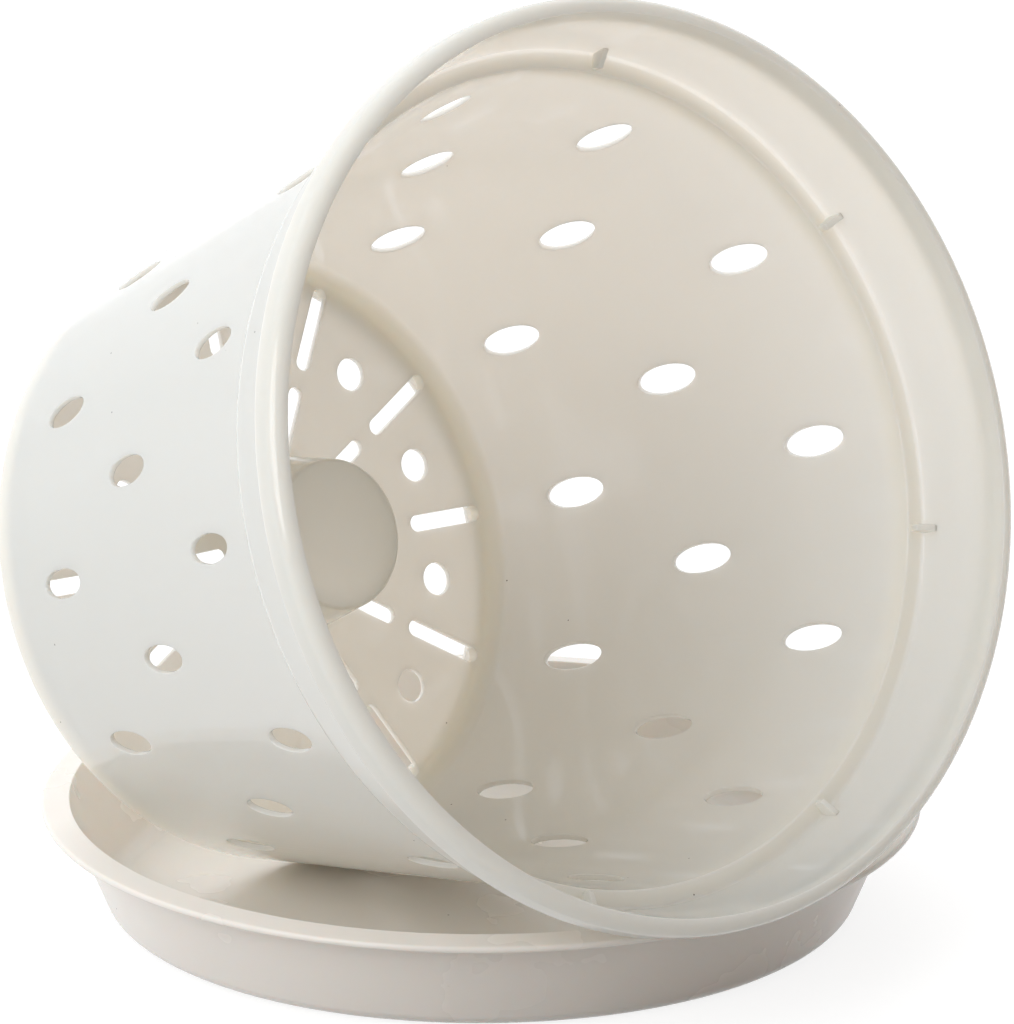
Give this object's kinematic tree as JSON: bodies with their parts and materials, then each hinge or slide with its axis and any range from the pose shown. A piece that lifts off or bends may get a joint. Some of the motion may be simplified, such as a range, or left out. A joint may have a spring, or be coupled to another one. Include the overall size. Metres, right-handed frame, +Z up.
{
  "type": "orchid pot with drip saucer",
  "caption": "Tapered orchid pot with oval air holes in its wall, a slotted floor with a hollow dome, a stepped rim, and a shallow drip saucer that it is tipped over.",
  "frame": {"origin": "middle of the saucer's flat foot, on the surface that it stands on", "axes": "+Z up; the camera of the picture looks along +Y, and the tipped pot's mouth faces +X and -Y"},
  "size_m": [0.198, 0.2035, 0.1899],
  "materials": {
    "pot_plastic": "smooth off-white polypropylene, softly glossy",
    "saucer_plastic": "smooth off-white polypropylene, softly glossy"
  },
  "bodies": {
    "saucer": {"saucer": "saucer_plastic"},
    "pot": {"pot": "pot_plastic"}
  },
  "joints": [
    {"name": "pot_lift", "type": "slide", "parent": "saucer", "child": "pot", "axis": [0, 0, 1], "range_m": [0, 0.12]}
  ]
}
